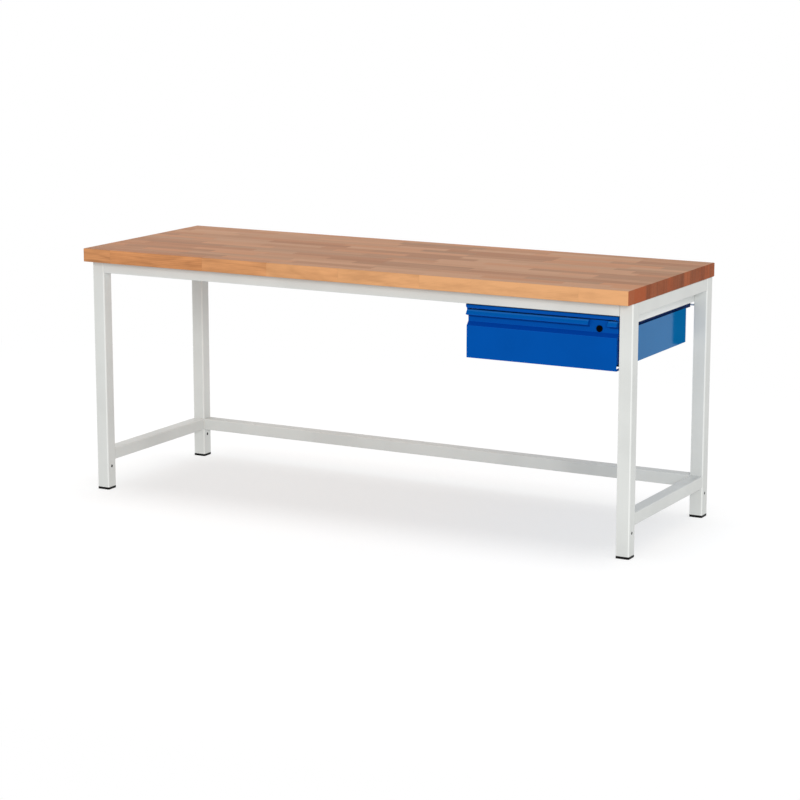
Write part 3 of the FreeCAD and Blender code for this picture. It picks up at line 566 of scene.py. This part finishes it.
def powder_coat(name, colour, paint, roughness, waves=0.8, ledge=1.0, lip=1.0, level_bends=1.0,
                bands=(), **surface):
    """Baked powder paint: fine waves, uneven tone and specks, and a painted highlight on bends.

    waves is the depth of the fine waves, ledge is how far painted shade darkens the drawer's
    sloping ledge, lip is how far painted light brightens its lip, level_bends is how much of the
    painted highlight bends that run level keep, and bands are level stretches with colours of their
    own, here painted highlight and painted shade.
    """
    finish = Finish(name, **surface)
    place = finish.place()
    height = finish.split(place)[2]
    peel = finish.noise(place, 1 / paint.peel_size, roughness=0.45)
    cloud = finish.noise(place, scale=5.0, detail=3.0)
    speck = finish.ramp(finish.noise(place, scale=900.0, detail=1.0), *SPECK_LEVELS)
    dark, pale = scaled(colour, CLOUD_DARK), scaled(colour, CLOUD_PALE)
    coat = finish.mix(finish.ramp(cloud, *CLOUD_LEVELS), dark, pale)
    coat = finish.mix(speck * SPECK_SHOWS, coat, dark)

    face_x, face_y, face_z = finish.facing()
    squarest = face_x.math("MAXIMUM", face_y).math("MAXIMUM", face_z)
    on_lip = finish.ramp(face_z, *LIP_SLOPE)
    on_ledge = finish.ramp(face_z, *LEDGE_SLOPE)
    no_flatter = finish.ramp(face_z, *BELOW_CREST)
    # Painted highlight on bends: the lip keeps none of it, and bends that run level keep
    # level_bends of it.
    level = finish.ramp(face_z, *OFF_LEVEL) * (1 - level_bends)
    bend = finish.ramp(squarest, *OFF_AXES) * (1 - on_lip * no_flatter) * (1 - level)
    coat = finish.mix(bend * BEND_HIGHLIGHT_SHOWS, coat, scaled(colour, BEND_HIGHLIGHT_GAIN, BEND_HIGHLIGHT_LIFT))
    # Painted light on the lip's face, and painted shade on the ledge under it.
    coat = finish.mix(on_lip * (1 - on_ledge), coat, sloping(colour, lip, LIP_LIGHT_KEEPS_BLUE))
    coat = finish.mix(on_ledge * no_flatter, coat, sloping(colour, ledge, LEDGE_SHADE_KEEPS_BLUE))

    # Level bands of their own colour, here painted highlight and painted shade.
    for band in bands:
        above = finish.ramp(height, band.low, band.low + band.edge)
        below = finish.ramp(height, band.high, band.high - band.edge)
        coat = finish.mix(above * below, coat, band.colour)
    finish.set("Base_Color", coat)
    finish.set("Roughness", roughness + (cloud - 0.5) * 0.10 + (peel - 0.5) * 0.06)
    finish.bump(peel, distance=0.00006, strength=waves)
    return finish


def leg_coat(paint):
    """The frame's coat outside, and inside the tube bare steel darkened to near black as painted
    shade, as the cross holes show it.
    """
    finish = powder_coat("frame_grey_legs", paint.frame_grey, paint, **GREY_GLOSS)
    x, y, _ = finish.split(finish.place())
    first_low, first_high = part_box(LEGS[0])
    last_low, last_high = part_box(LEGS[-1])
    half = (first_high.x - first_low.x) / 2
    first = (first_low + first_high) / 2
    last = (last_low + last_high) / 2
    from_axis = []
    for value, near, far in ((x, first.x, last.x), (y, first.y, last.y)):
        aside = (value - (near + far) / 2).math("ABSOLUTE") - (far - near) / 2
        from_axis.append(aside.math("ABSOLUTE"))
    reach = from_axis[0].math("MAXIMUM", from_axis[1])
    inside = finish.ramp(reach, *(half - depth for depth in TUBE_WALL))
    coat = finish.surface.inputs["Base Color"].links[0].from_socket
    finish.set("Base_Color", finish.mix(inside, Value(finish, coat), paint.bare_steel_and_painted_shade))
    return finish


def moulded_plastic(paint):
    """Black polyethylene with a fine spark-eroded grain and scuffed lower edges."""
    finish = Finish("foot_black", Specular_IOR_Level=0.12)
    place = finish.place()
    height = finish.split(place)[2]
    grain = finish.noise(place, scale=1100.0, detail=3.0, roughness=0.6)
    scuff = finish.noise(place, scale=160.0, detail=3.0, roughness=0.7)
    low_down = finish.ramp(height, SCUFFED, 0.0, to_high=0.5)
    worn = low_down * finish.ramp(scuff, *SCUFF_LEVELS)
    finish.set("Base_Color", finish.mix(worn, paint.foot_black, paint.foot_scuff))
    finish.set("Roughness", 0.5 + (grain - 0.5) * 0.25)
    finish.bump(grain, distance=0.00008, strength=0.7)
    return finish


def zinc_plate(paint):
    """Rolled and zinc-plated sheet: lines along the rolling direction and faint blotches."""
    finish = Finish("zinc_plate", Metallic=1.0)
    place = finish.place()
    lines = finish.drawn_out(place, ROLLING_LINES)
    blotch = finish.ramp(finish.noise(place, scale=38.0, detail=3.0), *CLOUD_LEVELS)
    dull, bright = scaled(paint.zinc, 0.72), scaled(paint.zinc, 1.15)
    finish.set("Base_Color", finish.mix(blotch, dull, bright))
    finish.set("Roughness", 0.34 + (lines - 0.5) * 0.3)
    finish.bump(lines, distance=0.00003, strength=0.6)
    return finish


def lock_lacquer(paint):
    """Black lacquer over turned metal: rings from the lathe round the lock's axis."""
    finish = Finish("lock_black", Specular_IOR_Level=0.02)
    place = finish.place()
    x, _, z = finish.split(place)
    low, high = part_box("lock_plug")
    axis = (low + high) / 2
    side_x = x - axis.x
    side_z = z - axis.z
    radius = (side_x * side_x + side_z * side_z).math("SQRT")
    turning = (radius * LATHE_RINGS).math("SINE")
    smudge = finish.noise(place, scale=220.0, detail=3.0)
    smudged = finish.ramp(smudge, *SMUDGE_LEVELS)
    finish.set("Base_Color", finish.mix(smudged, paint.lock_black, paint.lock_smudge))
    finish.set("Roughness", 0.28 + (smudge - 0.5) * 0.2)
    finish.bump(turning, distance=0.00001, strength=0.5)
    return finish


# ---------------------------------------------------------------- modelling by hand

def deselect():
    """Leave edit mode and select nothing."""
    if bpy.context.object and bpy.context.object.mode != "OBJECT":
        bpy.ops.object.mode_set(mode="OBJECT")
    bpy.ops.object.select_all(action="DESELECT")


def settle(piece, name, material, body):
    """Finish a new piece: its place goes into its mesh, and it rides on a body of the bench."""
    deselect()
    piece.select_set(True)
    bpy.context.view_layer.objects.active = piece
    bpy.ops.object.transform_apply(location=True, rotation=True, scale=True)
    piece.name = name
    piece.data.name = name
    piece.data.materials.clear()
    piece.data.materials.append(material)
    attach(piece, body)


def select_faces(mesh, chosen):
    """Select, in object mode, just the faces for which chosen(middle, normal) is true."""
    for part in (*mesh.vertices, *mesh.edges):
        part.select = False
    for face in mesh.polygons:
        face.select = chosen(face.center, face.normal)
    if not any(face.select for face in mesh.polygons):
        raise RuntimeError(f"no face of {mesh.name} is chosen")


def model_strip_tab(tab):
    """The folded tab under the strip's left end.

    A corner block is drawn down into the tab and inward into the foot that holds it.
    """
    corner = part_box(STRIP)[0]
    deselect()
    middle = (corner.x + tab.sheet / 2, corner.y + tab.setback + tab.depth / 2,
              corner.z - tab.sheet / 2)
    bpy.ops.mesh.primitive_cube_add(size=1.0, location=middle,
                                    scale=(tab.sheet, tab.depth, tab.sheet))
    piece = bpy.context.object
    bpy.ops.object.transform_apply(location=False, rotation=False, scale=True)

    def looks_down(_, normal):
        return normal.z < -SQUARELY

    def looks_inward_above(point, normal):
        return normal.x > SQUARELY and point.z > -tab.sheet / 2

    for chosen, reach in ((looks_down, (0, 0, tab.sheet - tab.drop)),
                          (looks_inward_above, (tab.foot - tab.sheet, 0, 0))):
        select_faces(piece.data, chosen)
        bpy.ops.object.mode_set(mode="EDIT")
        bpy.ops.mesh.select_mode(type="FACE")
        bpy.ops.mesh.extrude_region_move(TRANSFORM_OT_translate={"value": reach})
        bpy.ops.object.mode_set(mode="OBJECT")
    bevel = piece.modifiers.new("rounded", "BEVEL")
    bevel.width = tab.sheet * TAB_ROUNDING
    bevel.segments = 3
    bevel.limit_method = "ANGLE"
    bpy.ops.object.modifier_apply(modifier=bevel.name)
    return piece


# ---------------------------------------------------------------- studio

def make_floor(studio):
    """A pale floor that shows as white to the camera and keeps the bench's shadow."""
    deselect()
    bpy.ops.mesh.primitive_plane_add(size=studio.floor_width, location=(0, 0, cad_box[0].z))
    floor = bpy.context.object
    floor.name = "floor"
    paint = Finish("floor", Roughness=0.9, Specular_IOR_Level=0.0, Emission_Strength=1.0)
    x, y, _ = paint.split(paint.place())
    # Distance from the bench's middle, which counts for less along the bench than across it.
    away = (x * x * 0.35 + y * y).math("SQRT")
    far = paint.ramp(away, studio.fade_from, studio.fade_to)
    seen = paint.seen()
    near = paint.mix(far, scaled(WHITE, studio.floor_depth), BLACK)
    paint.set("Base_Color", paint.mix(seen, studio.floor, near))
    shown = studio.floor_glow + far * (1.0 - studio.floor_glow)
    glow = seen * (shown - studio.floor_lift) + studio.floor_lift
    paint.set("Emission_Color", paint.combine(glow, glow, glow))
    floor.data.materials.append(paint.material)
    floor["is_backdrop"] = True
    return floor


def make_floor_lamp(studio, floor):
    """An overhead light for the floor alone, which draws the bench's soft shadow below it."""
    deselect()
    bpy.ops.object.light_add(type="SUN", location=(0, 0, studio.lamp_height))
    lamp = bpy.context.object
    lamp.name = "floor_lamp"
    lamp.data.energy = studio.lamp_power
    lamp.data.angle = studio.lamp_spread
    lit = bpy.data.collections.new("lit_by_floor_lamp")
    lit.objects.link(floor)
    lamp.light_linking.receiver_collection = lit
    shading = bpy.data.collections.new("shading_the_floor_lamp")
    for name, node in nodes.items():
        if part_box(name)[0].z > studio.shadow_from:
            shading.objects.link(node)
    lamp.light_linking.blocker_collection = shading


def make_sky(scene, studio):
    """Even white light, seen by the camera as plain white."""
    world = bpy.data.worlds.new("sky")
    world.use_nodes = True
    scene.world = world
    tree = Tree(world.node_tree)
    seen = tree.seen()
    background = world.node_tree.nodes["Background"]
    tree.feed(background.inputs["Strength"], studio.sky + seen * (1.0 - studio.sky))
    tree.feed(background.inputs["Color"], WHITE)


def make_softbox(name, place, aim, power, width):
    """A square softbox at a place, aimed at a point."""
    deselect()
    place = Vector(place)
    bpy.ops.object.light_add(type="AREA", location=place)
    lamp = bpy.context.object
    lamp.name = name
    lamp.data.energy = power
    lamp.data.shape = "SQUARE"
    lamp.data.size = width
    lamp.rotation_euler = (Vector(aim) - place).to_track_quat("-Z", "Y").to_euler()
    return lamp


def make_softboxes(studio, floor):
    """A large softbox in front and a small one on the left, neither of which lights the floor."""
    unlit = bpy.data.collections.new("unlit_by_softboxes")
    unlit.objects.link(floor)
    unlit.collection_objects[0].light_linking.link_state = "EXCLUDE"
    for name, place, power, width in (
            ("softbox", studio.key_place, studio.key_power, studio.key_width),
            ("side_softbox", studio.side_place, studio.side_power, studio.side_width)):
        lamp = make_softbox(name, place, studio.aim, power, width)
        lamp.light_linking.receiver_collection = unlit


def make_black_card():
    """A narrow black card before the back right leg, seen only in the drawer's gloss."""
    from_drawer = 0.004    # gap between the drawer's side and the card
    past_leg = 0.007       # how far the card stands out past the leg
    from_leg = 0.005       # gap between the card and the leg
    middle = 0.66          # height of the card's middle
    tallness = 3.0         # the card's height over its width
    low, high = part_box("leg_back_right")
    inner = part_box("drawer_tub")[1].x + from_drawer
    outer = high.x + past_leg
    deselect()
    bpy.ops.mesh.primitive_plane_add(size=outer - inner, rotation=(math.pi / 2, 0, 0),
                                     location=((inner + outer) / 2, low.y - from_leg, middle))
    card = bpy.context.object
    card.name = "black_card"
    card.scale.y = tallness
    paint = Finish("black_card", Base_Color=BLACK, Specular_IOR_Level=0.0)
    card.data.materials.append(paint.material)
    for ray in ("camera", "diffuse", "transmission", "volume_scatter", "shadow"):
        setattr(card, f"visible_{ray}", False)
    card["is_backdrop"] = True


def make_camera(scene, studio):
    """The camera, which looks along its azimuth and elevation."""
    deselect()
    bpy.ops.object.camera_add(location=studio.camera_place)
    camera = bpy.context.object
    camera.name = "camera"
    camera.data.lens = studio.lens
    camera.data.sensor_width = studio.sensor
    flat = math.cos(studio.elevation)
    back = Vector((math.sin(studio.azimuth) * flat, -math.cos(studio.azimuth) * flat,
                   math.sin(studio.elevation)))
    camera.rotation_euler = (-back).to_track_quat("-Z", "Y").to_euler()
    scene.camera = camera


# ---------------------------------------------------------------- operators and panel

class PieceOperator:
    """What all the operators share."""
    bl_options = {"REGISTER", "UNDO"}


class BENCH_OT_worktop(PieceOperator, bpy.types.Operator):
    """Give the worktop its glued beech staves"""
    bl_idname = "bench.worktop"
    bl_label = "Worktop"

    def execute(self, context):
        beech(context.scene.bench_wood).put_on("worktop")
        return {"FINISHED"}


class BENCH_OT_frame(PieceOperator, bpy.types.Operator):
    """Coat legs, rails, lugs and drawer carriers in light grey"""
    bl_idname = "bench.frame"
    bl_label = "Steel frame"

    def execute(self, context):
        paint = context.scene.bench_paint
        # The rails' level bends keep a fifth of the painted highlight.
        rails = powder_coat("frame_grey", paint.frame_grey, paint, level_bends=0.2, **GREY_GLOSS)
        rails.put_on(*TOP_RAILS, *LOWER_RAILS)
        # Carriers and lugs get a paler grey: painted light against the shade under the rails.
        carriers = powder_coat("carrier_grey_painted_light", paint.carrier_grey_painted_light, paint, **GREY_GLOSS)
        carriers.put_on(*CARRIERS)
        leg_coat(paint).put_on(*LEGS)
        return {"FINISHED"}


class BENCH_OT_feet(PieceOperator, bpy.types.Operator):
    """Give the feet their moulded plastic"""
    bl_idname = "bench.feet"
    bl_label = "Feet"

    def execute(self, context):
        moulded_plastic(context.scene.bench_paint).put_on(*FEET)
        return {"FINISHED"}


class BENCH_OT_drawer(PieceOperator, bpy.types.Operator):
    """Coat the drawer, its front strip and its runner plates in blue"""
    bl_idname = "bench.drawer"
    bl_label = "Drawer and housing"

    def execute(self, context):
        paint = context.scene.bench_paint
        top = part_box("drawer_front")[1].z
        # Painted highlight along the front's top fold.
        crest = Band(low=top - 0.0045, high=top + PAST_TOP, edge=0.0015,
                     colour=paint.front_crest_painted_highlight)
        # Painted shade on the recess under the lip.
        fold = Band(low=top - 0.0260, high=top - 0.0145, edge=0.005, colour=paint.front_fold_painted_shade)
        # ledge darkens the sloping ledge as painted shade, and lip brightens the lip as painted
        # light.
        front = powder_coat("front_blue", paint.front_blue, paint, ledge=0.66, lip=1.32,
                            bands=[crest, fold], **BLUE_GLOSS)
        front.put_on("drawer_front")
        plate = powder_coat("plate_blue", paint.front_blue, paint, **BLUE_GLOSS)
        plate.put_on("lock_plate")
        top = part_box(STRIP)[1].z
        # Painted shade along the strip's top, under the rail.
        crest = Band(low=top - 0.0032, high=top + PAST_TOP, edge=0.0015,
                     colour=paint.strip_crest_painted_shade)
        strip = powder_coat("strip_blue", paint.front_blue, paint, bands=[crest], **BLUE_GLOSS)
        strip.put_on(STRIP)
        body = powder_coat("body_blue", paint.body_blue, paint, roughness=0.08, waves=0.25,
                           Specular_IOR_Level=0.09, Specular_Tint=(0.45, 1.0, 1.0))
        body.put_on(*BODY_SHEETS)
        # Navy as painted shade under the carriers.
        runners = powder_coat("runner_navy", paint.runner_navy, paint, roughness=0.45,
                              Specular_IOR_Level=0.05)
        runners.put_on(*RUNNER_PLATES)
        return {"FINISHED"}


class BENCH_OT_strip_tabs(PieceOperator, bpy.types.Operator):
    """Fold the tabs that close the gap under both ends of the front strip"""
    bl_idname = "bench.strip_tabs"
    bl_label = "Strip tabs"

    def execute(self, context):
        material = nodes[STRIP].material_slots[0].material
        low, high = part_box(STRIP)
        left = model_strip_tab(context.scene.bench_tab)
        bpy.ops.object.duplicate(linked=False)
        right = bpy.context.object
        right.location.x = low.x + high.x - left.location.x
        right.rotation_euler.z = math.pi
        for piece, name in ((left, "strip_tab_left"), (right, "strip_tab_right")):
            settle(piece, name, material, "bench")
        return {"FINISHED"}


class BENCH_OT_slides(PieceOperator, bpy.types.Operator):
    """Give slides, screws and cam their zinc plating"""
    bl_idname = "bench.slides"
    bl_label = "Slides and screws"

    def execute(self, context):
        zinc_plate(context.scene.bench_paint).put_on(*SLIDES, *SCREWS)
        return {"FINISHED"}


class BENCH_OT_lock(PieceOperator, bpy.types.Operator):
    """Give the lock its black lacquer"""
    bl_idname = "bench.lock"
    bl_label = "Lock"

    def execute(self, context):
        lock_lacquer(context.scene.bench_paint).put_on(*LOCK_FACES)
        return {"FINISHED"}


class BENCH_OT_studio(PieceOperator, bpy.types.Operator):
    """Set up the floor, the lights and the camera"""
    bl_idname = "bench.studio"
    bl_label = "Studio"

    def execute(self, context):
        studio = context.scene.bench_studio
        floor = make_floor(studio)
        make_floor_lamp(studio, floor)
        make_sky(context.scene, studio)
        make_softboxes(studio, floor)
        make_black_card()
        make_camera(context.scene, studio)
        context.scene.view_settings.view_transform = "Standard"
        return {"FINISHED"}


class BENCH_PT_panel(bpy.types.Panel):
    """Sizes, colours and pieces of the workbench"""
    bl_label = "Workbench"
    bl_idname = "BENCH_PT_panel"
    bl_space_type = "VIEW_3D"
    bl_region_type = "UI"
    bl_category = "Workbench"

    def draw(self, context):
        for attribute, (title, _) in SETTINGS.items():
            settings = getattr(context.scene, attribute)
            box = self.layout.box()
            box.label(text=title)
            for name in settings.__annotations__:
                box.prop(settings, name)
        for operator in OPERATORS:
            self.layout.operator(operator.bl_idname)


SETTINGS = {
    "bench_wood": ("Wood", WoodSettings),
    "bench_paint": ("Paint", PaintSettings),
    "bench_tab": ("Strip tabs", TabSettings),
    "bench_studio": ("Studio", StudioSettings),
}
OPERATORS = [BENCH_OT_worktop, BENCH_OT_frame, BENCH_OT_feet, BENCH_OT_drawer,
             BENCH_OT_strip_tabs, BENCH_OT_slides, BENCH_OT_lock, BENCH_OT_studio]
CLASSES = [*(settings for _, settings in SETTINGS.values()), *OPERATORS, BENCH_PT_panel]


def register():
    for item in CLASSES:
        bpy.utils.register_class(item)
    for attribute, (_, settings) in SETTINGS.items():
        setattr(bpy.types.Scene, attribute, PointerProperty(type=settings))


def unregister():
    for attribute in SETTINGS:
        delattr(bpy.types.Scene, attribute)
    for item in reversed(CLASSES):
        bpy.utils.unregister_class(item)


def main():
    register()
    bpy.ops.bench.worktop()
    bpy.ops.bench.frame()
    bpy.ops.bench.feet()
    bpy.ops.bench.drawer()
    bpy.ops.bench.strip_tabs()
    bpy.ops.bench.slides()
    bpy.ops.bench.lock()
    bpy.ops.bench.studio()
    [[list(corner) for corner in box] for box in (cad_box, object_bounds())]


if __name__ == "__main__":
    main()
